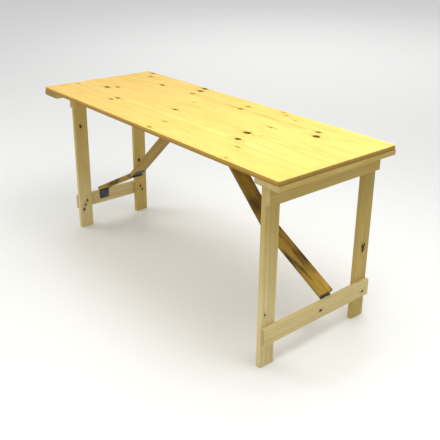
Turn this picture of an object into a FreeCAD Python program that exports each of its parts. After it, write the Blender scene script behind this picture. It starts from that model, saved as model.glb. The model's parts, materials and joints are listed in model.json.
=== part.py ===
# Folding trestle table: a boarded pine top on two leg frames that fold flat under it.
# Millimetres. X runs along the table, Z is up, and the origin is on the floor below its centre.
import FreeCAD, Part
import math
import os

from FreeCAD import Vector

# The whole table
table_length = 1600.0
table_width = 600.0
table_height = 740.0

# The top: boards edge to edge, on cross battens
top_thickness = 18.0
board_count = 6
batten_thickness = 20.0
end_batten_width = 112.0
mid_batten_width = 48.0
mid_batten_overhang = 44.0
board_arris = 0.6
top_corner_radius = 10.0

# The leg frames, one wide and one narrow: two legs and two rails each
leg_width = 68.0
leg_thickness = 20.0
rail_height = 68.0
rail_thickness = 18.0
frame_setback = 70.0
wide_frame_inset = 14.0
narrow_frame_inset = 98.0
lower_rail_height = 99.0
top_rail_drop = 2.0
arris = 1.0

# The stays: two planks each, hinged at the rail, at the knee and at the middle batten
stay_width = 68.0
stay_thickness = 18.0
stay_length_share = 1.0091
stay_offset = 50.0
stay_end_gap = 2.0
rail_pivot_rise = 1.0
knee_gap = 0.3

# The hinges: two leaves and a pin, with the pin's centre one offset off the wood
pin_offset = 4.0
knuckle_play = 0.4
pin_radius = 2.0
pin_clearance = 0.05
leaf_thickness = 2.0
knuckle_gap = 0.3
stay_leaf_width = 46.0
stay_hinge_length = 54.0
leg_leaf_width = 17.0
leg_hinge_length = 50.0
mouth_depth_share = 0.4
mouth_lean = 21.0
knuckle_sides = 12

# The screws: countersunk, with the heads flush in the wood
screw_radius = 2.0
screw_head_radius = 4.0
screw_head_depth = 2.5
screw_clearance = 0.1
frame_screw_length = 34.0
batten_screw_length = 34.0
batten_screw_edge = 20.0
mid_screw_shares = (0.12, 0.90)
screw_sides = 8
screw_height_shares = (0.30, 0.62)
screw_stagger = 6.0
overrun = 5.0

# Levels and places worked out from the sizes above
half_length = table_length / 2
half_width = table_width / 2
top_underside = table_height - top_thickness
batten_underside = top_underside - batten_thickness
leg_outer = half_length - frame_setback
leg_inner = leg_outer - leg_thickness
lower_rail_top = lower_rail_height + rail_height
top_rail_top = batten_underside - top_rail_drop
top_rail_height = top_rail_top - rail_height

# Pivots of one end, seen from the side as X and Z
frame_pivot = Vector(leg_inner - pin_offset, 0, batten_underside - pin_offset)
rail_pivot = Vector(leg_outer - pin_offset, 0, lower_rail_top + rail_pivot_rise)
batten_pivot = Vector(mid_batten_width / 2 + stay_end_gap, 0, batten_underside - pin_offset)

# The folded rail pivot lies as far from the frame's pivot along X as it hung below it, and the
# upper link is longer by what is left, so that both links fold flat. Open, they bend a little
# at the knee: together they are longer than the straight line by the length share.
stay_reach = (rail_pivot - batten_pivot).Length
folded_rail_x = frame_pivot.x - (frame_pivot.z - rail_pivot.z)
link_difference = folded_rail_x - batten_pivot.x
lower_link_length = (stay_length_share * stay_reach - link_difference) / 2
upper_link_length = lower_link_length + link_difference


def knee_place():
    """The open knee, on the low side of the line from the middle batten to the rail."""
    line = rail_pivot - batten_pivot
    squares = upper_link_length ** 2 + stay_reach ** 2 - lower_link_length ** 2
    cosine = squares / (2 * upper_link_length * stay_reach)
    slope = math.atan2(line.z, line.x) - math.acos(cosine)
    return batten_pivot + Vector(math.cos(slope), 0, math.sin(slope)) * upper_link_length


knee_pivot = knee_place()


def upward(direction):
    """The square-on direction on the outer, upper side of a link."""
    normal = Vector(-direction.z, 0, direction.x)
    return normal if normal.z > 0 else normal * -1


def bar(x_from, x_to, y_from, y_to, z_from, z_to, edge):
    """A planed length of timber with its edges eased."""
    size = (x_to - x_from, y_to - y_from, z_to - z_from)
    box = Part.makeBox(*size, Vector(x_from, y_from, z_from))
    return box.makeChamfer(edge, box.Edges)


def edge_board(y_from, y_to, y_outer):
    """A board at the table's long edge, with the top's two corners rounded off it."""
    start = Vector(-half_length, y_from, top_underside)
    box = Part.makeBox(table_length, y_to - y_from, top_thickness, start)
    upright = [edge for edge in box.Edges if edge.BoundBox.ZLength > top_thickness / 2]
    corners = [edge for edge in upright if math.isclose(edge.CenterOfMass.y, y_outer)]
    board = box.makeFillet(top_corner_radius, corners)
    rims = [edge for edge in board.Edges if edge.BoundBox.ZLength < board_arris]
    return board.makeChamfer(board_arris, rims)


def at_pivot(shape, pivot, along, toward_wood, y_centre):
    """Set a piece drawn along local X, with the wood on local +Z, on a pivot."""
    across = toward_wood.cross(along)
    turn = FreeCAD.Rotation(along, across, toward_wood, "XZY")
    shape.Placement = FreeCAD.Placement(Vector(pivot.x, y_centre, pivot.z), turn)
    return shape


def ring(sides, apothem, centre, axis):
    """A closed regular outline round an axis, its flats one apothem from the centre."""
    turn = FreeCAD.Rotation(Vector(0, 0, 1), axis)
    radius = apothem / math.cos(math.pi / sides)
    angles = [2 * math.pi * number / sides for number in range(sides + 1)]
    spokes = [Vector(math.cos(angle), math.sin(angle), 0) * radius for angle in angles]
    return Part.makePolygon([centre + turn.multVec(spoke) for spoke in spokes])


def prism(sides, apothem, run, foot, axis):
    return Part.Face(ring(sides, apothem, foot, axis)).extrude(axis * run)


def knuckle_mouth(length):
    """What an open knuckle lacks: the side off the wood, where the pin lifts out of it."""
    corner = Vector(-pin_offset, -length / 2 - overrun, mouth_depth_share * pin_radius - 2 * pin_offset)
    mouth = Part.makeBox(2 * pin_offset, length + 2 * overrun, 2 * pin_offset, corner)
    mouth.rotate(Vector(), Vector(0, 1, 0), mouth_lean)
    return mouth


def hinge_leaf(width, length, middle, is_open):
    """One leaf: a plate on the wood and its knuckles round the pin."""
    third = length / 3
    along = Vector(0, 1, 0)
    knuckle_radius = pin_offset - knuckle_play
    knuckle_flat = knuckle_radius * math.cos(math.pi / knuckle_sides)
    plate_start = knuckle_radius + knuckle_play
    plate_low = pin_offset - leaf_thickness
    corner = Vector(plate_start, -length / 2, plate_low)
    leaf = Part.makeBox(width - plate_start, length, leaf_thickness, corner)
    starts = [-third / 2] if middle else [-length / 2, third / 2]
    for start in starts:
        foot = Vector(0, start + knuckle_gap / 2, 0)
        run = third - knuckle_gap
        knuckle = prism(knuckle_sides, knuckle_flat, run, foot, along)
        neck_thickness = knuckle_flat - plate_low
        neck = Part.makeBox(plate_start, run, neck_thickness, foot + Vector(0, 0, plate_low))
        leaf = leaf.fuse([knuckle, neck])
    bore_foot = Vector(0, -length / 2 - overrun, 0)
    bore = prism(knuckle_sides, pin_radius + pin_clearance, length + 2 * overrun, bore_foot, along)
    cuts = [bore, knuckle_mouth(length)] if is_open else [bore]
    return leaf.cut(cuts).removeSplitter()


def hinge_pin(length):
    return Part.makeCylinder(pin_radius, length, Vector(0, -length / 2, 0), Vector(0, 1, 0))


def hinge(pivot, first, second, y_centre, width, length, is_open=False):
    """Both leaves and the pin. Each leaf is given by its direction and the side of its wood."""
    fixed = at_pivot(hinge_leaf(width, length, False, False), pivot, *first, y_centre)
    moving = at_pivot(hinge_leaf(width, length, True, is_open), pivot, *second, y_centre)
    pin = at_pivot(hinge_pin(length), pivot, *first, y_centre)
    return fixed, moving, pin


def stay_link(start, end, y_centre, start_cut, end_cut):
    """A plank from pivot to pivot. A cut is the lean of that end, as the tangent off square."""
    along = (end - start).normalize()
    length = (end - start).Length
    low = pin_offset
    high = pin_offset + stay_thickness
    outline = []
    for height in (low, high):
        outline.append((start_cut[0] + height * start_cut[1], height))
        outline.append((length - end_cut[0] - height * end_cut[1], height))
    corners = [outline[0], outline[1], outline[3], outline[2]]
    points = [Vector(x, -stay_width / 2, z) for x, z in corners]
    face = Part.Face(Part.makePolygon(points + points[:1]))
    plank = face.extrude(Vector(0, stay_width, 0))
    plank = plank.makeChamfer(arris, plank.Edges)
    return at_pivot(plank, start, along, upward(along), y_centre)


def screw(length, clearance=0.0):
    """A countersunk screw with its head at the origin, pointing along +X."""
    ahead = Vector(1, 0, 0)
    wide = screw_head_radius + clearance
    thin = screw_radius + clearance
    run = length - screw_head_depth + clearance
    neck = Vector(screw_head_depth, 0, 0)
    outlines = [ring(screw_sides, wide, Vector(), ahead), ring(screw_sides, thin, neck, ahead)]
    head = Part.makeLoft(outlines, True, True)
    shank = prism(screw_sides, thin, run, neck, ahead)
    return head.fuse(shank).removeSplitter()


def top_boards():
    width = table_width / board_count
    boards = {}
    for number in range(board_count):
        y_from = -half_width + number * width
        y_to = y_from + width
        if number == 0:
            board = edge_board(y_from, y_to, -half_width)
        elif number == board_count - 1:
            board = edge_board(y_from, y_to, half_width)
        else:
            board = bar(-half_length, half_length, y_from, y_to, top_underside, table_height, board_arris)
        boards[f"top_board_{number + 1}"] = board
    return boards


def battens():
    mid_half = mid_batten_width / 2
    mid_reach = stay_offset + stay_width / 2 + mid_batten_overhang
    inner = half_length - end_batten_width
    low, high = batten_underside, top_underside
    return {
        "end_batten_wide": bar(inner, half_length, -half_width, half_width, low, high, arris),
        "end_batten_narrow": bar(-half_length, -inner, -half_width, half_width, low, high, arris),
        "middle_batten": bar(-mid_half, mid_half, -mid_reach, mid_reach, low, high, arris),
    }


def batten_screw_places():
    """Screws up through the battens: one to each board at the ends, two to the middle boards."""
    pitch = table_width / board_count
    outer = half_length - batten_screw_edge
    places = []
    for number in range(board_count):
        y = -half_width + (number + 0.5) * pitch
        places += [(-outer, y), (outer, y)]
    for share in mid_screw_shares:
        places += [(0, -share * pitch), (0, share * pitch)]
    return places


def frame_screw_places(frame_width):
    """Screws from each leg's inner face into both rails, two to a joint."""
    leg_centre = frame_width / 2 - leg_width / 2
    places = []
    for side in (-1, 1):
        for rail_low in (lower_rail_height, top_rail_height):
            for share, shift in zip(screw_height_shares, (screw_stagger, -screw_stagger)):
                places.append((side * (leg_centre + shift), rail_low + share * rail_height))
    return places


def leg_frame(frame_width):
    """Legs, rails and screws of one frame, at the +X end."""
    half = frame_width / 2
    rail_outer = leg_outer + rail_thickness
    places = [Vector(leg_inner, y, z) for y, z in frame_screw_places(frame_width)]
    screws = [screw(frame_screw_length).translate(place) for place in places]
    holes = [screw(frame_screw_length, screw_clearance).translate(place) for place in places]
    timbers = {
        "near_leg": bar(leg_inner, leg_outer, -half, -half + leg_width, 0, batten_underside, arris),
        "far_leg": bar(leg_inner, leg_outer, half - leg_width, half, 0, batten_underside, arris),
        "lower_rail": bar(leg_outer, rail_outer, -half, half, lower_rail_height, lower_rail_top, arris),
        "top_rail": bar(leg_outer, rail_outer, -half, half, top_rail_height, top_rail_top, arris),
    }
    pieces = {name: shape.cut(holes) for name, shape in timbers.items()}
    pieces["frame_screws"] = Part.makeCompound(screws)
    return pieces


def leg_hinges(frame_width):
    """A hinge in the corner between each leg and the batten over it, its leg leaf's knuckle open."""
    pieces = {}
    leg_centre = frame_width / 2 - leg_width / 2
    on_batten = (Vector(-1, 0, 0), Vector(0, 0, 1))
    on_leg = (Vector(0, 0, -1), Vector(1, 0, 0))
    for name, y in (("near", -leg_centre), ("far", leg_centre)):
        leaves = hinge(frame_pivot, on_batten, on_leg, y, leg_leaf_width, leg_hinge_length, True)
        for part, shape in zip(("batten_leaf", "leg_leaf", "pin"), leaves):
            pieces[f"{name}_leg_hinge_{part}"] = shape
    return pieces


def stay(y_centre):
    """Both links of one stay and its three hinges."""
    down = (knee_pivot - batten_pivot).normalize()
    up = (knee_pivot - rail_pivot).normalize()
    lean = math.tan((math.pi - down.getAngle(up)) / 2)
    upper_wood, lower_wood = upward(down), upward(up)
    square = (stay_end_gap, 0)
    mitre = (knee_gap / 2, lean)
    pieces = {
        "upper_stay": stay_link(batten_pivot, knee_pivot, y_centre, square, mitre),
        "lower_stay": stay_link(rail_pivot, knee_pivot, y_centre, square, mitre),
    }
    on_batten = (Vector(-1, 0, 0), Vector(0, 0, 1))
    on_rail = (Vector(0, 0, -1), Vector(1, 0, 0))
    sets = {
        ("batten", "batten_leaf", "stay_leaf"): (batten_pivot, on_batten, (down, upper_wood)),
        ("knee", "upper_leaf", "lower_leaf"): (knee_pivot, (down * -1, upper_wood), (up * -1, lower_wood)),
        ("rail", "rail_leaf", "stay_leaf"): (rail_pivot, on_rail, (up, lower_wood)),
    }
    for (name, *leaf_names), (pivot, first, second) in sets.items():
        leaves = hinge(pivot, first, second, y_centre, stay_leaf_width, stay_hinge_length)
        for part, shape in zip((*leaf_names, "pin"), leaves):
            pieces[f"{name}_hinge_{part}"] = shape
    return pieces


def other_end(shape):
    return shape.mirror(Vector(), Vector(1, 0, 0))


def table_end(name, frame_width, y_centre, mirrored):
    pieces = {}
    for group in (leg_frame(frame_width), leg_hinges(frame_width), stay(y_centre)):
        for piece, shape in group.items():
            pieces[f"{name}_{piece}"] = other_end(shape) if mirrored else shape
    return pieces


def build():
    turn = FreeCAD.Rotation(Vector(0, 1, 0), -90)
    upward_screws = []
    upward_holes = []
    for x, y in batten_screw_places():
        place = FreeCAD.Placement(Vector(x, y, batten_underside), turn)
        for group, shape in (
            (upward_screws, screw(batten_screw_length)),
            (upward_holes, screw(batten_screw_length, screw_clearance)),
        ):
            shape.Placement = place
            group.append(shape)
    timbers = {**top_boards(), **battens()}
    pieces = {name: shape.cut(upward_holes) for name, shape in timbers.items()}
    pieces["batten_screws"] = Part.makeCompound(upward_screws)
    wide = table_width - 2 * wide_frame_inset
    narrow = table_width - 2 * narrow_frame_inset
    pieces.update(table_end("wide", wide, stay_offset, False))
    pieces.update(table_end("narrow", narrow, -stay_offset, True))
    return pieces


os.makedirs("parts", exist_ok=True)
for node, shape in build().items():
    shape.exportStep(f"parts/{node}.step")
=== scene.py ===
import json
import math

import bmesh
import bpy
from mathutils import Matrix, Vector


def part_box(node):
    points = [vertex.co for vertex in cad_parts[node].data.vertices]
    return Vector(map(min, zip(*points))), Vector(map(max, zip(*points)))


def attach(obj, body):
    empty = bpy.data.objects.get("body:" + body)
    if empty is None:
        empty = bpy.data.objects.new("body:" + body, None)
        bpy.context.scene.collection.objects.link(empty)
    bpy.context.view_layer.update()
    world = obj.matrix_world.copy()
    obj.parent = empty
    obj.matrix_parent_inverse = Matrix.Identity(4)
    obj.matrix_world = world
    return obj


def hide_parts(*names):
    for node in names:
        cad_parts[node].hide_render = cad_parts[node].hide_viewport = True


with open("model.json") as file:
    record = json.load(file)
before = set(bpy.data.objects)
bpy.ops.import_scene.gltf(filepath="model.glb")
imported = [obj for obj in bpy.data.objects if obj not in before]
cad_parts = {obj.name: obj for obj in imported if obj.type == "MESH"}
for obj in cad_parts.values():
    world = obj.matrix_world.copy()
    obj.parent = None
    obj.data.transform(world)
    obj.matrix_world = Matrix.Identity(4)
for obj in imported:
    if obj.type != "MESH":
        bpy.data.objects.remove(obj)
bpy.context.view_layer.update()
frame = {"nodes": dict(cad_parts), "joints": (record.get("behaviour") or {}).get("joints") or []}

# The top: six pine boards, planed, glued edge to edge and varnished a warm yellow. Their faces show
# straight, close growth rings and small knots in short rows, and one has long streaks of resin. Their
# ends are darker end grain, and their edges and ends also carry painted shade, deepest low down
# towards the underside.


def add_node(tree, kind, settings=None, **inputs):
    """A shader node with its settings and its inputs, each a value or another node's output. An input
    goes by its name, with _ for a space, or by i and its number."""
    node = tree.nodes.new(kind)
    for name, value in (settings or {}).items():
        setattr(node, name, value)
    for name, value in inputs.items():
        number = name[1:]
        socket = node.inputs[int(number)] if number.isdigit() else node.inputs[name.replace("_", " ")]
        if isinstance(value, bpy.types.NodeSocket):
            tree.links.new(value, socket)
        else:
            socket.default_value = value
    return node


def number_math(tree, operation, first, second=0.0, third=0.0, clamp=False):
    """A sum of numbers."""
    settings = {"operation": operation, "use_clamp": clamp}
    return add_node(tree, "ShaderNodeMath", settings, i0=first, i1=second, i2=third).outputs[0]


def vector_math(tree, operation, first, second=(0, 0, 0), scale=1.0):
    """A sum of vectors. A length and a dot product come out as numbers."""
    settings = {"operation": operation}
    node = add_node(tree, "ShaderNodeVectorMath", settings, i0=first, i1=second, i3=scale)
    return node.outputs["Value" if operation in ("LENGTH", "DOT_PRODUCT") else "Vector"]


def share_of(tree, value, run):
    """How far a number has come along a run, from 0 to 1."""
    node = add_node(tree, "ShaderNodeMapRange", Value=value, From_Min=run[0], From_Max=run[1])
    return node.outputs[0]


def mottle(tree, place, scale, detail):
    """Cloudy noise: its outputs are Fac, a number, and Color."""
    return add_node(tree, "ShaderNodeTexNoise", Vector=place, Scale=scale, Detail=detail).outputs


def grey_ramp(tree, value, *stops):
    """A number taken through (place, level) stops."""
    node = add_node(tree, "ShaderNodeValToRGB", Fac=value)
    band = node.color_ramp
    while len(band.elements) < len(stops):
        band.elements.new(0.5)
    for stop, (place, level) in zip(band.elements, stops):
        stop.position = place
        stop.color = (level, level, level, 1)
    return node.outputs["Color"]


def mix_colours(tree, share, first, second, mode="MIX"):
    """The first colour, mixed with a share of the second."""
    settings = {"data_type": "RGBA", "blend_type": mode}
    return add_node(tree, "ShaderNodeMix", settings, i0=share, i6=first, i7=second).outputs[2]


def start_group(name, takes, gives):
    """An empty node group with named sockets: the group, what it is given and its result."""
    group = bpy.data.node_groups.new(name, "ShaderNodeTree")
    for direction, sockets in (("INPUT", takes), ("OUTPUT", gives)):
        for label, kind in sockets:
            group.interface.new_socket(label, in_out=direction, socket_type=f"NodeSocket{kind}")
    return group, group.nodes.new("NodeGroupInput").outputs, group.nodes.new("NodeGroupOutput").inputs


def place_group(tree, group, look, **inputs):
    """A node group in a material. Its sockets that the look has a value for take that value."""
    node = add_node(tree, "ShaderNodeGroup", {"node_tree": group}, **inputs)
    for socket in node.inputs:
        key = socket.name.lower().replace(" ", "_")
        if key in look:
            socket.default_value = look[key]
    return node.outputs


def make_knot_group():
    """A knot: its dark core, the rings in the core, its brown rim with a tail along the grain, and how
    far it pushes the growth rings aside. Its form is measured in its own radii."""
    group, given, result = start_group(
        "pine_knot",
        [("Grain", "Vector"), ("Centre", "Vector"), ("Radius", "Float")],
        [("Core", "Float"), ("Rings", "Float"), ("Rim", "Float"), ("Push", "Float")],
    )
    oval_form = (0.68, 1.0, 0.0)
    tail_form = (0.16, 0.9, 0.0)
    wobble, wobble_scale = 0.9, 0.7
    ring_pace = 22.0
    push_fall = 0.22
    offset = vector_math(group, "SUBTRACT", given["Grain"], given["Centre"])
    measured = vector_math(group, "SCALE", offset, scale=number_math(group, "DIVIDE", 1.0, given["Radius"]))
    shifted = vector_math(group, "ADD", measured, given["Centre"])
    cloud = mottle(group, shifted, scale=wobble_scale, detail=0.5)["Fac"]
    uneven = number_math(group, "MULTIPLY_ADD", cloud, wobble, -wobble / 2)
    oval = vector_math(group, "LENGTH", vector_math(group, "MULTIPLY", measured, oval_form))
    oval = number_math(group, "ADD", oval, uneven)
    drawn = vector_math(group, "LENGTH", vector_math(group, "MULTIPLY", measured, tail_form))
    drawn = number_math(group, "ADD", drawn, uneven)
    quarter = number_math(group, "MULTIPLY", oval, 0.25, clamp=True)
    core = grey_ramp(group, quarter, (0.0, 1.0), (0.19, 1.0), (0.25, 0.0))
    group.links.new(core, result["Core"])
    wave = number_math(group, "SINE", number_math(group, "MULTIPLY", oval, ring_pace))
    rings = number_math(group, "MULTIPLY_ADD", wave, 0.5, 0.5)
    group.links.new(number_math(group, "MULTIPLY", rings, core), result["Rings"])
    rim = grey_ramp(group, quarter, (0.0, 1.0), (0.24, 0.9), (0.42, 0.0))
    half = number_math(group, "MULTIPLY", drawn, 0.5, clamp=True)
    tail = grey_ramp(group, half, (0.0, 0.85), (0.5, 0.0))
    group.links.new(number_math(group, "MAXIMUM", rim, tail), result["Rim"])
    squared = number_math(group, "POWER", oval, 2.0)
    fall = number_math(group, "EXPONENT", number_math(group, "MULTIPLY", squared, -push_fall))
    group.links.new(number_math(group, "MULTIPLY", fall, given["Radius"]), result["Push"])
    return group


def make_wood_group():
    """Pine between its knots: growth rings round a heart, coarse streaks, fine fibres, slow changes of
    tone, and painted shade that darkens it along a run."""
    group, given, result = start_group(
        "pine_wood",
        [("Grain", "Vector"), ("Heart", "Vector"), ("Pitch", "Float"), ("Sway", "Float"), ("Push", "Float"),
         ("Early", "Color"), ("Late", "Color"), ("Warm", "Color"), ("Ring Strength", "Float"),
         ("Streak Strength", "Float"), ("Fibre Strength", "Float"), ("Age", "Float"), ("Head Shade Tone", "Color")],
        [("Colour", "Color"), ("Fibre", "Float"), ("Height", "Float")],
    )
    slow_form = (1.0, 5.0, 5.0)
    sway_form = (0.0, 1.0, 0.45)
    ring_form = (0.006, 1.0, 1.0)
    fibre_form = (7.0, 420.0, 420.0)
    streak_form = (7.0, 26.0, 26.0)
    ring_relief, fibre_relief = 0.4, 0.6
    shifted = vector_math(group, "ADD", given["Grain"], given["Heart"])
    slow = vector_math(group, "MULTIPLY", shifted, slow_form)
    bend = mottle(group, slow, scale=1.4, detail=2.0)["Color"]
    bend = vector_math(group, "SUBTRACT", bend, (0.5, 0.5, 0.5))
    bend = vector_math(group, "MULTIPLY", bend, sway_form)
    bend = vector_math(group, "SCALE", bend, scale=given["Sway"])
    placed = vector_math(group, "SUBTRACT", given["Grain"], given["Heart"])
    placed = vector_math(group, "ADD", placed, bend)
    radius = vector_math(group, "LENGTH", vector_math(group, "MULTIPLY", placed, ring_form))
    radius = number_math(group, "ADD", radius, given["Push"])
    ring = number_math(group, "FRACT", number_math(group, "DIVIDE", radius, given["Pitch"]))
    late = grey_ramp(group, ring, (0.0, 0.05), (0.45, 0.18), (0.86, 1.0), (0.93, 0.85), (1.0, 0.05))
    drawn = vector_math(group, "MULTIPLY", given["Grain"], fibre_form)
    fibre = mottle(group, drawn, scale=1.0, detail=3.0)["Fac"]
    drawn = vector_math(group, "MULTIPLY", placed, streak_form)
    streak = mottle(group, drawn, scale=1.0, detail=3.0)["Fac"]
    tone = mottle(group, slow, scale=2.6, detail=3.0)["Fac"]
    share = number_math(group, "MULTIPLY", late, given["Ring Strength"])
    colour = mix_colours(group, share, given["Early"], given["Late"])
    colour = mix_colours(group, grey_ramp(group, tone, (0.35, 0.0), (0.7, 0.55)), colour, given["Warm"])
    for mark, start, full, strength in (
        (streak, 0.46, 0.66, "Streak Strength"),
        (fibre, 0.42, 0.80, "Fibre Strength"),
    ):
        mask = grey_ramp(group, mark, (start, 0.0), (full, 1.0))
        share = number_math(group, "MULTIPLY", mask, given[strength])
        colour = mix_colours(group, share, colour, given["Late"])
    colour = mix_colours(group, given["Age"], colour, given["Head Shade Tone"], "MULTIPLY")
    group.links.new(colour, result["Colour"])
    group.links.new(fibre, result["Fibre"])
    height = number_math(group, "MULTIPLY", late, ring_relief)
    height = number_math(group, "MULTIPLY_ADD", fibre, fibre_relief, height)
    group.links.new(height, result["Height"])
    return group


def make_resin_group():
    """A streak of resin that has soaked into the wood and is broken up by the fibres."""
    group, given, result = start_group(
        "resin_streak",
        [("Grain", "Vector"), ("Centre", "Vector"), ("Form", "Vector"), ("Fibre", "Float")],
        [("Mask", "Float")],
    )
    fibre_contrast = 1.7
    offset = vector_math(group, "SUBTRACT", given["Grain"], given["Centre"])
    reach = vector_math(group, "LENGTH", vector_math(group, "MULTIPLY", offset, given["Form"]))
    soaked = grey_ramp(group, reach, (0.0, 1.0), (0.5, 0.8), (1.0, 0.0))
    broken = number_math(group, "MULTIPLY", given["Fibre"], fibre_contrast, clamp=True)
    group.links.new(number_math(group, "MULTIPLY", soaked, broken), result["Mask"])
    return group


def make_face_group():
    """The cut faces of a timber: its ends and its long edges each have their own tone, in some looks
    painted shade or a painted highlight, and painted shade darkens them where Rise, the way up from the
    underside, is low."""
    group, given, result = start_group(
        "pine_cut_faces",
        [("Colour", "Color"), ("Normal", "Vector"), ("Along", "Vector"), ("Across", "Vector"),
         ("End Tone", "Color"), ("Edge Tone", "Color"), ("Rise", "Float"), ("Underside Shade Tone", "Color")],
        [("Colour", "Color")],
    )
    shade_below = grey_ramp(group, given["Rise"], (0.0, 1.0), (0.2, 0.85), (1.0, 0.0))
    colour = given["Colour"]
    for axis, tone in (("Along", "End Tone"), ("Across", "Edge Tone")):
        facing = vector_math(group, "DOT_PRODUCT", given["Normal"], given[axis])
        cut = grey_ramp(group, number_math(group, "ABSOLUTE", facing), (0.6, 0.0), (0.8, 1.0))
        colour = mix_colours(group, cut, colour, given[tone], "MULTIPLY")
        underside_shading = number_math(group, "MULTIPLY", cut, shade_below)
        colour = mix_colours(group, underside_shading, colour, given["Underside Shade Tone"], "MULTIPLY")
    group.links.new(colour, result["Colour"])
    return group


KNOT_GROUP = make_knot_group()
WOOD_GROUP = make_wood_group()
RESIN_GROUP = make_resin_group()
FACE_GROUP = make_face_group()
KNOT_ROUGHENING = 0.4
GRAIN_RELIEF = 0.0004
VARNISH_ROUGHNESS = 0.22


def pine(name, along, across, look, heart, knots=(), resin=(), underside_shading=None, head_shade_run=None):
    """A pine finish for one timber, whose growth rings go round its heart. A knot is (place along, place
    across, radius, darkness) and a streak of resin (place along, place across, half length, half width).
    Two optional runs lay on painted shade: one of depth, over which the cut faces lighten from the
    underside up, and one along the timber, over which it darkens towards the head."""
    finish = bpy.data.materials.new(name)
    finish.use_nodes = True
    tree = finish.node_tree
    shader = tree.nodes["Principled BSDF"]
    where = tree.nodes.new("ShaderNodeTexCoord").outputs
    axes = (along, across, Vector(along).cross(Vector(across)))
    run, side, depth = (vector_math(tree, "DOT_PRODUCT", where["Object"], tuple(axis)) for axis in axes)
    grain = add_node(tree, "ShaderNodeCombineXYZ", X=run, Y=side, Z=depth).outputs[0]
    core, rings, rim, push = 0.0, 0.0, 0.0, 0.0
    for knot_run, knot_side, radius, darkness in knots:
        centre = (knot_run, knot_side, 0.0)
        knot = place_group(tree, KNOT_GROUP, look, Grain=grain, Centre=centre, Radius=radius)
        core = number_math(tree, "MAXIMUM", number_math(tree, "MULTIPLY", knot["Core"], darkness), core)
        rings = number_math(tree, "MAXIMUM", knot["Rings"], rings)
        rim = number_math(tree, "MAXIMUM", knot["Rim"], rim)
        push = number_math(tree, "ADD", knot["Push"], push)
    shade_share = share_of(tree, run, head_shade_run) if head_shade_run else 0.0
    wood = place_group(tree, WOOD_GROUP, look, Grain=grain, Heart=heart, Push=push, Age=shade_share)
    colour = wood["Colour"]
    for streak_run, streak_side, half_length, half_width in resin:
        streak = place_group(tree, RESIN_GROUP, look, Grain=grain, Centre=(streak_run, streak_side, 0.0),
                             Form=(1 / half_length, 1 / half_width, 0.0), Fibre=wood["Fibre"])
        colour = mix_colours(tree, streak["Mask"], colour, look["knot_rim"])
    rough_start = look["rough"] - look["rough_spread"] / 2
    rough = number_math(tree, "MULTIPLY_ADD", wood["Fibre"], look["rough_spread"], rough_start)
    if knots:
        rim_share = number_math(tree, "MULTIPLY", rim, look["rim_strength"])
        colour = mix_colours(tree, rim_share, colour, look["knot_rim"])
        colour = mix_colours(tree, core, colour, mix_colours(tree, rings, look["knot"], look["knot_rings"]))
        rough = number_math(tree, "MULTIPLY_ADD", core, KNOT_ROUGHENING, rough, clamp=True)
    rise = share_of(tree, depth, underside_shading) if underside_shading else 1.0
    faces = place_group(tree, FACE_GROUP, look, Colour=colour, Normal=where["Normal"], Along=tuple(along),
                        Across=tuple(across), Rise=rise)
    tree.links.new(faces["Colour"], shader.inputs["Base Color"])
    tree.links.new(rough, shader.inputs["Roughness"])
    bump = add_node(tree, "ShaderNodeBump", Strength=look["bump"], Distance=GRAIN_RELIEF,
                    Height=wood["Height"])
    tree.links.new(bump.outputs[0], shader.inputs["Normal"])
    shader.inputs["Coat Weight"].default_value = look["coat"]
    shader.inputs["Coat Roughness"].default_value = VARNISH_ROUGHNESS
    shader.inputs["Specular IOR Level"].default_value = look["gloss"]
    return finish


def dress(node, finish):
    """Give a CAD piece its finish."""
    slots = frame["nodes"][node].data.materials
    slots.clear()
    slots.append(finish)


VARNISHED = {
    "early": (0.83, 0.60, 0.175, 1), "late": (0.63, 0.37, 0.055, 1), "warm": (0.76, 0.48, 0.095, 1),
    "knot": (0.036, 0.028, 0.0003, 1), "knot_rings": (0.105, 0.081, 0.002, 1),
    "knot_rim": (0.345, 0.262, 0.013, 1), "rim_strength": 0.7,
    # The end and edge tones here are painted shade on the top's ends and long edges, the ends also darker end
    # grain, and the tone below them is painted shade low down towards the underside.
    "end_tone": (0.52, 0.51, 0.49, 1), "edge_tone": (0.62, 0.57, 0.50, 1),
    "underside_shade_tone": (0.58, 0.53, 0.42, 1),
    "pitch": 0.0075, "sway": 0.030, "ring_strength": 0.6, "fibre_strength": 0.35, "streak_strength": 0.30,
    "rough": 0.45, "rough_spread": 0.10, "bump": 0.25, "coat": 0.04, "gloss": 0.09,
}
BOARD_HEARTS = [
    (0.3, -0.33, 0.66), (1.1, -0.11, 0.62), (2.4, -0.02, 0.64),
    (3.2, 0.14, 0.61), (4.7, 0.08, 0.65), (5.3, 0.31, 0.63),
]
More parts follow.
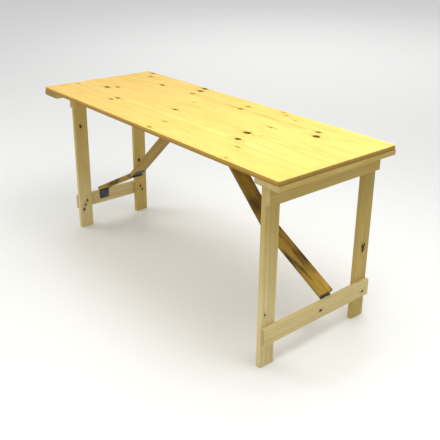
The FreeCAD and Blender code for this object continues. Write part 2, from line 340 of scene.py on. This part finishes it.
BOARD_KNOTS = [
    [(0.062, -0.281, 0.0085, 0.40), (0.524, -0.282, 0.006, 0.25)],
    [(-0.403, -0.173, 0.008, 0.80), (-0.400, -0.139, 0.009, 1.0), (0.037, -0.192, 0.008, 0.25),
     (0.462, -0.174, 0.007, 0.50), (0.393, -0.112, 0.011, 1.0), (-0.760, -0.142, 0.006, 0.20)],
    [(-0.615, -0.068, 0.011, 1.0), (-0.584, -0.026, 0.008, 1.0), (-0.083, -0.050, 0.010, 0.75),
     (0.355, -0.031, 0.014, 1.0)],
    [(0.358, 0.090, 0.009, 0.35), (-0.131, 0.088, 0.005, 0.30)],
    [(-0.490, 0.170, 0.010, 1.0), (-0.264, 0.182, 0.010, 0.65), (0.078, 0.179, 0.011, 0.55),
     (0.550, 0.144, 0.014, 1.0), (0.517, 0.190, 0.010, 0.95)],
    [(-0.683, 0.230, 0.009, 0.60), (-0.740, 0.284, 0.009, 0.75), (-0.281, 0.241, 0.012, 1.0),
     (-0.304, 0.287, 0.012, 1.0), (0.072, 0.230, 0.009, 0.60), (0.272, 0.261, 0.008, 0.25),
     (0.232, 0.286, 0.007, 0.35), (0.350, 0.234, 0.006, 0.25)],
]
BOARD_RESIN = {
    "top_board_5": [(0.03, 0.1785, 0.07, 0.008), (0.24, 0.1795, 0.13, 0.008), (0.42, 0.1850, 0.08, 0.006)],
}
BOARDS = [f"top_board_{number}" for number in range(1, 7)]
for board, heart, knots in zip(BOARDS, BOARD_HEARTS, BOARD_KNOTS):
    low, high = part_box(board)
    dress(board, pine(f"varnished_pine_{board}", (1, 0, 0), (0, 1, 0), VARNISHED, heart, knots,
                      resin=BOARD_RESIN.get(board, ()), underside_shading=(low.z, high.z)))

# The battens: bare pine planks laid across the boards' undersides, one at each end and a short one in
# the middle that carries the stays. Each is screwed up into the boards.
BARE = {
    "early": (0.64, 0.535, 0.275, 1), "late": (0.46, 0.345, 0.135, 1), "warm": (0.56, 0.445, 0.190, 1),
    "knot": (0.026, 0.012, 0.003, 1), "knot_rings": (0.095, 0.048, 0.012, 1),
    "knot_rim": (0.26, 0.145, 0.04, 1), "rim_strength": 0.65,
    # The last tone on the next line is painted shade that darkens legs towards the head.
    "end_tone": (0.70, 0.68, 0.62, 1), "edge_tone": (1, 1, 1, 1), "head_shade_tone": (0.78, 0.71, 0.50, 1),
    "pitch": 0.0062, "sway": 0.034, "ring_strength": 0.55, "fibre_strength": 0.35, "streak_strength": 0.25,
    "rough": 0.62, "rough_spread": 0.14, "bump": 0.45, "coat": 0.0, "gloss": 0.14,
}
TANNED = dict(
    BARE, early=(0.52, 0.395, 0.135, 1), late=(0.36, 0.245, 0.060, 1), warm=(0.45, 0.325, 0.090, 1),
    # On the next line the end tone is a painted highlight that makes end faces paler and bluer, and the other
    # tone is painted shade that darkens legs towards the head.
    end_tone=(0.95, 1.02, 1.45, 1), head_shade_tone=(0.84, 0.83, 0.76, 1),
)
# This look puts painted shade on the end face of the narrow end batten.
SHADED_END_LOOK = dict(TANNED, end_tone=(0.62, 0.58, 0.72, 1))
BATTENS = (
    ("end_batten_wide", TANNED, (0.4, 0.74, 0.60)),
    ("end_batten_narrow", SHADED_END_LOOK, (1.9, -0.72, 0.61)),
    ("middle_batten", TANNED, (3.1, 0.02, 0.63)),
)
for batten, look, heart in BATTENS:
    dress(batten, pine(f"bare_pine_{batten}", (0, 1, 0), (-1, 0, 0), look, heart))

# The leg frames: two upright planks with a rail across them at the foot and at the head, of bare pine.
# Three legs carry painted shade that darkens them towards the head. The rails are screwed on from the
# legs' inner faces, and the lower screws have stained the wood. The wide frame stands at one end and the
# narrow one at the other.
FRAME_ENDS = (("wide", 1), ("narrow", -1))
LEG_SIDES = {"near_leg": -1, "far_leg": 1}
LEG_HEARTS = {"near_leg": -0.24, "far_leg": 0.27}
RAIL_HEARTS = {"lower_rail": 0.12, "top_rail": 0.69}
LEG_HEART_SHIFT, LEG_HEART_DEPTH = 2.3, 0.66
RAIL_HEART_SHIFT, RAIL_HEART_DEPTH = 1.7, 0.69
FRAME_KNOTS = {
    "narrow_near_leg": [(0.539, -0.173, 0.007, 1.0), (0.096, -0.182, 0.006, 1.0)],
    "narrow_far_leg": [(0.291, 0.160, 0.008, 1.0)],
    "wide_far_leg": [(0.304, 0.2525, 0.0090, 1.0), (0.320, 0.2465, 0.0055, 1.0),
                     (0.321, 0.2595, 0.0055, 1.0)],
    "wide_near_leg": [(0.214, -0.268, 0.004, 1.0)],
    "wide_lower_rail": [(0.005, 0.133, 0.006, 1.0), (0.250, 0.124, 0.005, 1.0)],
}
PALE_TIMBERS = ("wide_near_leg", "wide_lower_rail", "narrow_near_leg", "narrow_lower_rail")
# Painted shade: each of these legs darkens towards the head along its run of height.
HEAD_SHADE_RUNS = {"wide_near_leg": (0.25, 0.55), "wide_far_leg": (0.25, 0.55), "narrow_near_leg": (0.12, 0.55)}
SCREW_STEPS = ((0.30, 0.006), (0.62, -0.006))
STAIN_RADIUS, STAIN_DARKNESS = 0.0056, 1.0


def screw_spots(end, leg, rail):
    """Where a rail's two screws go through a leg, as (place across, height). Each sits at a share of the
    rail's height and a step off the leg's middle line."""
    leg_low, leg_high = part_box(f"{end}_{leg}")
    rail_low, rail_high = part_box(f"{end}_{rail}")
    middle = (leg_low.y + leg_high.y) / 2
    rail_height = rail_high.z - rail_low.z
    outward = LEG_SIDES[leg]
    return [(middle + outward * step, rail_low.z + share * rail_height) for share, step in SCREW_STEPS]


for end, side in FRAME_ENDS:
    for seed, (leg, heart_across) in enumerate(LEG_HEARTS.items()):
        node = f"{end}_{leg}"
        look = BARE if node in PALE_TIMBERS else TANNED
        heart = (seed + LEG_HEART_SHIFT * side, heart_across, -side * LEG_HEART_DEPTH)
        spots = screw_spots(end, leg, "lower_rail")
        stains = [(height, across, STAIN_RADIUS, STAIN_DARKNESS) for across, height in spots]
        marks = FRAME_KNOTS.get(node, []) + stains
        dress(node, pine(f"bare_pine_{node}", (0, 0, 1), (0, 1, 0), look, heart, marks,
                         head_shade_run=HEAD_SHADE_RUNS.get(node)))
    for seed, (rail, heart_across) in enumerate(RAIL_HEARTS.items()):
        node = f"{end}_{rail}"
        look = BARE if node in PALE_TIMBERS else TANNED
        heart = (seed + RAIL_HEART_SHIFT * side, heart_across, side * RAIL_HEART_DEPTH)
        dress(node, pine(f"bare_pine_{node}", (0, 1, 0), (0, 0, 1), look, heart, FRAME_KNOTS.get(node, ())))

# The stays: two planks to each end, mitred where they butt at the knee, of an older and darker pine
# than the frames, with broad streaks. They run from the middle batten to the frame's lower rail.
STAY = {
    "early": (0.52, 0.335, 0.052, 1), "late": (0.060, 0.030, 0.004, 1), "warm": (0.29, 0.165, 0.018, 1),
    "end_tone": (0.6, 0.58, 0.54, 1), "edge_tone": (0.8, 0.8, 0.8, 1),
    "pitch": 0.0110, "sway": 0.120, "ring_strength": 0.30, "fibre_strength": 0.5, "streak_strength": 0.95,
    "rough": 0.55, "rough_spread": 0.14, "bump": 0.4, "coat": 0.0, "gloss": 0.14,
}
PALE_STAY = dict(
    STAY, early=(0.43, 0.295, 0.075, 1), late=(0.24, 0.145, 0.026, 1), warm=(0.33, 0.215, 0.043, 1),
    streak_strength=0.5,
)
# A darker copy of the stay wood: painted shade for the wide upper stay, which lies in the shadow of the top.
SHADED_STAY = dict(
    STAY, early=(0.31, 0.19, 0.030, 1), late=(0.045, 0.023, 0.003, 1), warm=(0.17, 0.095, 0.012, 1),
)
STAY_LOOKS = {
    "wide_upper_stay": SHADED_STAY, "wide_lower_stay": STAY,
    "narrow_upper_stay": PALE_STAY, "narrow_lower_stay": STAY,
}
STAY_HEART_ACROSS, STAY_HEART_DEPTH = 0.03, -0.05
UPPER_SEED, LOWER_SEED = 0.6, 3.4
PIVOTS = {joint["name"]: Vector(joint["pos_m"]) for joint in frame["joints"]}


def stay_pivots(end):
    """The three pivots of one stay: at the batten, the knee and the rail."""
    return [PIVOTS[f"{end}_{name}"] for name in ("batten_swing", "knee_fold", "rail_swing")]


for end in ("wide", "narrow"):
    at_batten, at_knee, at_rail = stay_pivots(end)
    for link, start, seed in (("upper_stay", at_batten, UPPER_SEED), ("lower_stay", at_rail, LOWER_SEED)):
        node = f"{end}_{link}"
        along = (at_knee - start).normalized()
        across = Vector((0, 1, 0))
        depth = along.cross(across)
        middle = (at_knee + start) / 2
        heart = (seed, middle.dot(across) + STAY_HEART_ACROSS, middle.dot(depth) + STAY_HEART_DEPTH)
        dress(node, pine(f"stay_pine_{node}", along, across, STAY_LOOKS[node], heart))

# The screws: slotted steel, countersunk flush. Sixteen go up through the battens into the boards, and
# sixteen hold the rails, driven from the legs' inner faces.
SCREW_SIDES = 20
SLOT_DEPTH, SLOT_WIDTH = 0.0009, 0.0011
FIRST_TURN, TURN_STEP = 0.4, 1.3
SMOOTH_BELOW = math.radians(35)
SCRATCH_ROUGHNESS, SCRATCH_STRENGTH, SCRATCH_RELIEF = 0.3, 0.2, 0.0001


def make_wear_group():
    """Steel that has been handled: cloudy patches and fine scratches."""
    group, given, result = start_group(
        "steel_wear", [("Place", "Vector")], [("Cloud", "Float"), ("Scratch", "Float")]
    )
    scratch_form = (900.0, 90.0, 900.0)
    group.links.new(mottle(group, given["Place"], scale=90.0, detail=4.0)["Fac"], result["Cloud"])
    drawn = vector_math(group, "MULTIPLY", given["Place"], scratch_form)
    group.links.new(mottle(group, drawn, scale=1.0, detail=2.0)["Fac"], result["Scratch"])
    return group


WEAR_GROUP = make_wear_group()


def steel(name, dark, light, rough):
    """Bare steel between a dark and a lighter tone."""
    finish = bpy.data.materials.new(name)
    finish.use_nodes = True
    tree = finish.node_tree
    shader = tree.nodes["Principled BSDF"]
    place = tree.nodes.new("ShaderNodeTexCoord").outputs["Object"]
    wear = add_node(tree, "ShaderNodeGroup", {"node_tree": WEAR_GROUP}, Place=place).outputs
    colour = mix_colours(tree, grey_ramp(tree, wear["Cloud"], (0.35, 0.0), (0.75, 1.0)), dark, light)
    tree.links.new(colour, shader.inputs["Base Color"])
    rough_start = rough - SCRATCH_ROUGHNESS / 2
    scratched = number_math(tree, "MULTIPLY_ADD", wear["Scratch"], SCRATCH_ROUGHNESS, rough_start)
    tree.links.new(scratched, shader.inputs["Roughness"])
    bump = add_node(tree, "ShaderNodeBump", Strength=SCRATCH_STRENGTH, Distance=SCRATCH_RELIEF,
                    Height=wear["Scratch"])
    tree.links.new(bump.outputs[0], shader.inputs["Normal"])
    shader.inputs["Metallic"].default_value = 1.0
    return finish


def round_steps(sides):
    """Angles once round a circle."""
    return [2 * math.pi * step / sides for step in range(sides)]


def ring_of(mesh, radius, height, sides=SCREW_SIDES):
    """A level ring of points."""
    return [mesh.verts.new((radius * math.cos(a), radius * math.sin(a), height)) for a in round_steps(sides)]


def skin(mesh, rings):
    """A closed shell through rings of points."""
    for low, high in zip(rings, rings[1:]):
        for step in range(len(low)):
            after = (step + 1) % len(low)
            mesh.faces.new((low[step], low[after], high[after], high[step]))
    mesh.faces.new(rings[0][::-1])
    mesh.faces.new(rings[-1])


def screw_mesh(head, shank, head_depth, length):
    """A slotted countersunk screw with its head at the origin, pointing down. The slot is the gap
    between two half discs that stand on its cone."""
    mesh = bmesh.new()
    lean = (head - shank) / head_depth
    slot_floor = head - SLOT_DEPTH * lean
    tip = length - shank
    cone = ((shank / 4, -length), (shank, -tip), (shank, -head_depth), (slot_floor, -SLOT_DEPTH))
    skin(mesh, [ring_of(mesh, radius, height) for radius, height in cone])
    edge = math.asin(SLOT_WIDTH / 2 / head)
    half_sides = SCREW_SIDES // 2
    steps = [edge + (math.pi - 2 * edge) * step / half_sides for step in range(half_sides + 1)]
    for side in (1, -1):
        skin(mesh, [
            [mesh.verts.new((radius * math.cos(a), side * radius * math.sin(a), height))
             for a in steps[::side]]
            for radius, height in ((slot_floor, -SLOT_DEPTH), (head, 0.0))
        ])
    bmesh.ops.recalc_face_normals(mesh, faces=mesh.faces)
    return mesh


def drive_in(places, into, size):
    """One mesh of like screws, each at its place and turned a little further than the last."""
    whole = bmesh.new()
    pattern = bpy.data.meshes.new("screw_pattern")
    one = screw_mesh(**size)
    one.to_mesh(pattern)
    one.free()
    aim = Vector((0, 0, -1)).rotation_difference(Vector(into)).to_matrix().to_4x4()
    for number, place in enumerate(places):
        before = len(whole.verts)
        whole.from_mesh(pattern)
        whole.verts.ensure_lookup_table()
        turn = Matrix.Rotation(TURN_STEP * number + FIRST_TURN, 4, "Z")
        bmesh.ops.transform(whole, matrix=Matrix.Translation(place) @ aim @ turn, verts=whole.verts[before:])
    bpy.data.meshes.remove(pattern)
    return whole


def settle(name, mesh, finish, body, slot, *nodes):
    """Turn a finished mesh into a piece that rides on a body and stands for CAD nodes."""
    data = bpy.data.meshes.new(name)
    mesh.to_mesh(data)
    mesh.free()
    data.shade_smooth()
    data.set_sharp_from_angle(angle=SMOOTH_BELOW)
    data.materials.append(finish)
    piece = bpy.data.objects.new(name, data)
    bpy.context.scene.collection.objects.link(piece)
    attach(piece, body)
    if nodes:
        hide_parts(*nodes)


SCREW_STEEL = steel("screw_steel", (0.10, 0.085, 0.07, 1), (0.24, 0.21, 0.17, 1), 0.5)
WOOD_SCREW = {"head": 0.004, "shank": 0.002, "head_depth": 0.0025, "length": 0.034}
END_ROW = 0.780
MIDDLE_STEPS = (0.012, 0.090)
batten_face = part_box("batten_screws")[0].z
batten_places = []
for side in (-1, 1):
    for board in BOARDS:
        low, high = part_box(board)
        batten_places.append((side * END_ROW, (low.y + high.y) / 2, batten_face))
for side in (-1, 1):
    for step in MIDDLE_STEPS:
        batten_places.append((0.0, side * step, batten_face))
settle("slotted_batten_screws", drive_in(batten_places, (0, 0, 1), WOOD_SCREW), SCREW_STEEL, "table",
       "screw_steel", "batten_screws")
for end, side in FRAME_ENDS:
    frame_places = []
    for leg in LEG_SIDES:
        low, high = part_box(f"{end}_{leg}")
        inner_face = low.x if side > 0 else high.x
        for rail in RAIL_HEARTS:
            for across, height in screw_spots(end, leg, rail):
                frame_places.append((inner_face, across, height))
    settle(f"{end}_slotted_frame_screws", drive_in(frame_places, (side, 0, 0), WOOD_SCREW), SCREW_STEEL,
           f"{end}_leg_frame", "screw_steel", f"{end}_frame_screws")

# The hinges: dark rolled steel butt hinges, each two leaves rolled round a loose pin and screwed to the
# wood. Three work each stay, and two smaller ones hang each leg frame from its end batten.
HINGE_STEEL = steel("hinge_steel", (0.055, 0.062, 0.07, 1), (0.13, 0.14, 0.15, 1), 0.42)
PIN_OFFSET, PIN_RADIUS = 0.004, 0.002
PIN_SIDES, PIN_END_SHARE, PIN_ROUNDING = 24, 0.7, 0.0006
EYE_BORE, EYE_RADIUS = 0.00205, 0.0036
EYE_START, EYE_SWEEP, EYE_STEPS = 90, 290, 28
LEAF_THICKNESS, LEAF_EASE, CORNER_STEPS = 0.002, 0.0002, 5
KNUCKLE_GAP, WELD_REACH = 0.0003, 1e-7
HINGE_SCREW = {"head": 0.0031, "shank": 0.0016, "head_depth": 0.0018, "length": 0.014}
HOLE_RADIUS, HEAD_SINK = 0.0033, 0.0001


def rounded_plate(start, width, length, corner, holes):
    """The flat of a leaf: rounded at its far corners and pierced for the screws."""
    outline = bpy.data.curves.new("leaf_outline", "CURVE")
    outline.dimensions = "2D"
    outline.fill_mode = "BOTH"
    outline.extrude = LEAF_THICKNESS / 2 - LEAF_EASE
    outline.bevel_depth = LEAF_EASE
    outline.bevel_resolution = 1
    outline.offset = -LEAF_EASE
    turns = [math.radians(90 * step / CORNER_STEPS) for step in range(CORNER_STEPS + 1)]
    centre_x, centre_y = width - corner, length / 2 - corner
    far = [(centre_x + corner * math.sin(a), centre_y + corner * math.cos(a)) for a in turns]
    loops = [[(start, -length / 2)] + [(x, -y) for x, y in far] + far[::-1] + [(start, length / 2)]]
    for x, y in holes:
        loops.append([(x + HOLE_RADIUS * math.cos(a), y + HOLE_RADIUS * math.sin(a))
                      for a in round_steps(SCREW_SIDES)])
    for loop in loops:
        spline = outline.splines.new("POLY")
        spline.points.add(len(loop) - 1)
        for point, (x, y) in zip(spline.points, loop):
            point.co = (x, y, 0, 1)
        spline.use_cyclic_u = True
    holder = bpy.data.objects.new("leaf_outline", outline)
    flat = bpy.data.meshes.new_from_object(holder)
    bpy.data.objects.remove(holder)
    flat.transform(Matrix.Translation((0, 0, PIN_OFFSET - LEAF_THICKNESS / 2)))
    return flat


def rolled_eye(mesh, start, run):
    """The end of the leaf, rolled round the pin: a hook in outline, drawn out along the pin."""
    turns = [math.radians(EYE_START + EYE_SWEEP * step / EYE_STEPS) for step in range(EYE_STEPS + 1)]
    outline = [(PIN_OFFSET, PIN_OFFSET)]
    outline += [(EYE_RADIUS * math.cos(a), EYE_RADIUS * math.sin(a)) for a in turns]
    outline += [(EYE_BORE * math.cos(a), EYE_BORE * math.sin(a)) for a in turns[::-1]]
    outline += [(PIN_OFFSET, PIN_OFFSET - LEAF_THICKNESS)]
    skin(mesh, [[mesh.verts.new((x, y, z)) for x, z in outline] for y in (start, start + run)])


def leaf_mesh(width, length, corner, holes, middle):
    """One whole leaf, drawn along X from the pin, with the wood on +Z. It has the middle knuckle or the
    two outer ones."""
    mesh = bmesh.new()
    third = length / 3
    for start in ([-third / 2] if middle else [-length / 2, third / 2]):
        rolled_eye(mesh, start + KNUCKLE_GAP / 2, third - KNUCKLE_GAP)
    flat = rounded_plate(PIN_OFFSET, width, length, corner, holes)
    mesh.from_mesh(flat)
    bpy.data.meshes.remove(flat)
    bmesh.ops.remove_doubles(mesh, verts=mesh.verts, dist=WELD_REACH)
    bmesh.ops.recalc_face_normals(mesh, faces=mesh.faces)
    return mesh


def pin_mesh(length):
    """The pin, with its ends lightly rounded over."""
    mesh = bmesh.new()
    half = length / 2
    end = ((PIN_RADIUS * PIN_END_SHARE, half), (PIN_RADIUS, half - PIN_ROUNDING))
    profile = [(radius, -height) for radius, height in end] + list(end[::-1])
    skin(mesh, [ring_of(mesh, radius, height, PIN_SIDES) for radius, height in profile])
    bmesh.ops.recalc_face_normals(mesh, faces=mesh.faces)
    bmesh.ops.rotate(mesh, verts=mesh.verts, matrix=Matrix.Rotation(math.pi / 2, 3, "X"))
    return mesh


def stand_on(pivot, along, wood):
    """The place of a leaf: its own X along the wood, its own Z into it."""
    axes = Matrix((along, wood.cross(along), wood)).transposed()
    return Matrix.Translation(pivot) @ axes.to_4x4()


def fit_hinge(stem, kind, leaves, pin_body):
    """Both leaves, the pin and the screws of one hinge. A leaf is (name, along, wood, body), and the
    second one has the middle knuckle."""
    low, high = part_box(f"{stem}_pin")
    pivot, length = (low + high) / 2, high.y - low.y
    for number, (name, along, wood, body) in enumerate(leaves):
        place = stand_on(pivot, along, wood)
        leaf = leaf_mesh(length=length, middle=number == 1, **kind)
        bmesh.ops.transform(leaf, matrix=place, verts=leaf.verts)
        settle(f"{stem}_rolled_{name}", leaf, HINGE_STEEL, body, "hinge_steel", f"{stem}_{name}")
        heads = [(x, y, PIN_OFFSET - LEAF_THICKNESS + HEAD_SINK) for x, y in kind["holes"]]
        screws = drive_in(heads, (0, 0, 1), HINGE_SCREW)
        bmesh.ops.transform(screws, matrix=place, verts=screws.verts)
        settle(f"{stem}_{name}_screws", screws, SCREW_STEEL, body, "screw_steel")
    pin = pin_mesh(length)
    bmesh.ops.translate(pin, verts=pin.verts, vec=pivot)
    settle(f"{stem}_loose_pin", pin, HINGE_STEEL, pin_body, "hinge_steel", f"{stem}_pin")


STAY_HINGE = {"width": 0.046, "corner": 0.006, "holes": ((0.014, 0.0), (0.034, -0.017), (0.034, 0.017))}
LEG_HINGE = {"width": 0.017, "corner": 0.003, "holes": ((0.0105, -0.015), (0.0105, 0.015))}
UPWARD, DOWNWARD = Vector((0, 0, 1)), Vector((0, 0, -1))
for end, side in FRAME_ENDS:
    at_batten, at_knee, at_rail = stay_pivots(end)
    inward, outward = Vector((-side, 0, 0)), Vector((side, 0, 0))
    down, rise = (at_knee - at_batten).normalized(), (at_knee - at_rail).normalized()
    upper_wood = Vector((-down.z, 0, down.x)) * side
    lower_wood = Vector((-rise.z, 0, rise.x)) * -side
    upper, lower, legs = f"{end}_upper_stay", f"{end}_lower_stay", f"{end}_leg_frame"
    fit_hinge(f"{end}_batten_hinge", STAY_HINGE,
              [("batten_leaf", inward, UPWARD, "table"), ("stay_leaf", down, upper_wood, upper)], "table")
    fit_hinge(f"{end}_knee_hinge", STAY_HINGE,
              [("upper_leaf", -down, upper_wood, upper), ("lower_leaf", -rise, lower_wood, lower)], upper)
    fit_hinge(f"{end}_rail_hinge", STAY_HINGE,
              [("rail_leaf", DOWNWARD, outward, legs), ("stay_leaf", rise, lower_wood, lower)], legs)
    for leg in ("near", "far"):
        fit_hinge(f"{end}_{leg}_leg_hinge", LEG_HINGE,
                  [("batten_leaf", inward, UPWARD, "table"), ("leg_leaf", DOWNWARD, outward, legs)], "table")

# The floor, the light and the camera of the picture: a plain pale floor, and soft light from all round,
# with lamps above the wide end, at the left, in front and over the floor behind.
FLOOR_REACH = 40.0
FLOOR_COLOUR, FLOOR_ROUGHNESS = (0.80, 0.81, 0.795, 1), 0.5
floor_corners = [(x * FLOOR_REACH, y * FLOOR_REACH, 0) for x, y in ((-1, -1), (1, -1), (1, 1), (-1, 1))]
floor_mesh = bpy.data.meshes.new("floor")
floor_mesh.from_pydata(floor_corners, [], [(0, 1, 2, 3)])
floor = bpy.data.objects.new("floor", floor_mesh)
bpy.context.scene.collection.objects.link(floor)
floor_finish = bpy.data.materials.new("pale_floor")
floor_finish.use_nodes = True
floor_shader = floor_finish.node_tree.nodes["Principled BSDF"]
floor_shader.inputs["Base Color"].default_value = FLOOR_COLOUR
floor_shader.inputs["Roughness"].default_value = FLOOR_ROUGHNESS
floor_mesh.materials.append(floor_finish)

AMBIENT_COLOUR, AMBIENT_STRENGTH = (1.0, 1.0, 1.0, 1), 0.70
world = bpy.context.scene.world or bpy.data.worlds.new("studio")
bpy.context.scene.world = world
world.use_nodes = True
ambient = world.node_tree.nodes["Background"]
ambient.inputs["Color"].default_value = AMBIENT_COLOUR
ambient.inputs["Strength"].default_value = AMBIENT_STRENGTH


def lamp(name, place, target, size, power, colour):
    """A soft lamp with a rectangular face, turned towards its target."""
    light = bpy.data.lights.new(name, "AREA")
    light.shape = "RECTANGLE"
    light.size, light.size_y = size
    light.energy = power
    light.color = colour
    holder = bpy.data.objects.new(name, light)
    holder.location = place
    holder.rotation_euler = (Vector(target) - Vector(place)).to_track_quat("-Z", "Y").to_euler()
    bpy.context.scene.collection.objects.link(holder)


lamp("upper_light", place=(0.85, 0.1, 2.3), target=(0.8, 0.0, 0.0), size=(1.6, 1.2), power=35.0,
     colour=(1.0, 1.0, 0.98))
lamp("left_light", place=(-3.0, -1.6, 2.6), target=(0.2, 0.0, 0.4), size=(1.8, 1.6), power=34.0,
     colour=(1.0, 1.0, 0.99))
lamp("front_light", place=(1.4, -3.6, 1.6), target=(0.4, 0.0, 0.4), size=(2.0, 1.6), power=30.0,
     colour=(1.0, 1.0, 0.99))
lamp("back_light", place=(-3.5, 4.5, 3.6), target=(-4.0, 5.5, 0.0), size=(5.0, 5.0), power=85.0,
     colour=(1.0, 1.0, 1.0))
bpy.context.scene.view_settings.view_transform = "Standard"

PICTURE_SIDE = 440
FOCAL_LENGTH = 663.3
LENS_CENTRE = (228.03, 172.47)
SENSOR_WIDTH = 36.0
CAMERA_PLACE = Vector((2.1451, -1.6650, 1.4855))
YAW, PITCH, ROLL = (math.radians(angle) for angle in (139.294, 20.561, 0.890))
ahead = Vector((math.cos(PITCH) * math.cos(YAW), math.cos(PITCH) * math.sin(YAW), -math.sin(PITCH)))
level = ahead.cross(Vector((0, 0, 1))).normalized()
upright = level.cross(ahead)
right = math.cos(ROLL) * level + math.sin(ROLL) * upright
up = right.cross(ahead)
lens = bpy.data.cameras.new("picture")
lens.sensor_width = SENSOR_WIDTH
lens.sensor_fit = "HORIZONTAL"
lens.lens = FOCAL_LENGTH / PICTURE_SIDE * SENSOR_WIDTH
lens.shift_x = (PICTURE_SIDE / 2 - LENS_CENTRE[0]) / PICTURE_SIDE
lens.shift_y = (LENS_CENTRE[1] - PICTURE_SIDE / 2) / PICTURE_SIDE
camera = bpy.data.objects.new("picture", lens)
camera.matrix_world = Matrix.Translation(CAMERA_PLACE) @ Matrix((right, up, -ahead)).transposed().to_4x4()
bpy.context.scene.collection.objects.link(camera)
bpy.context.scene.camera = camera
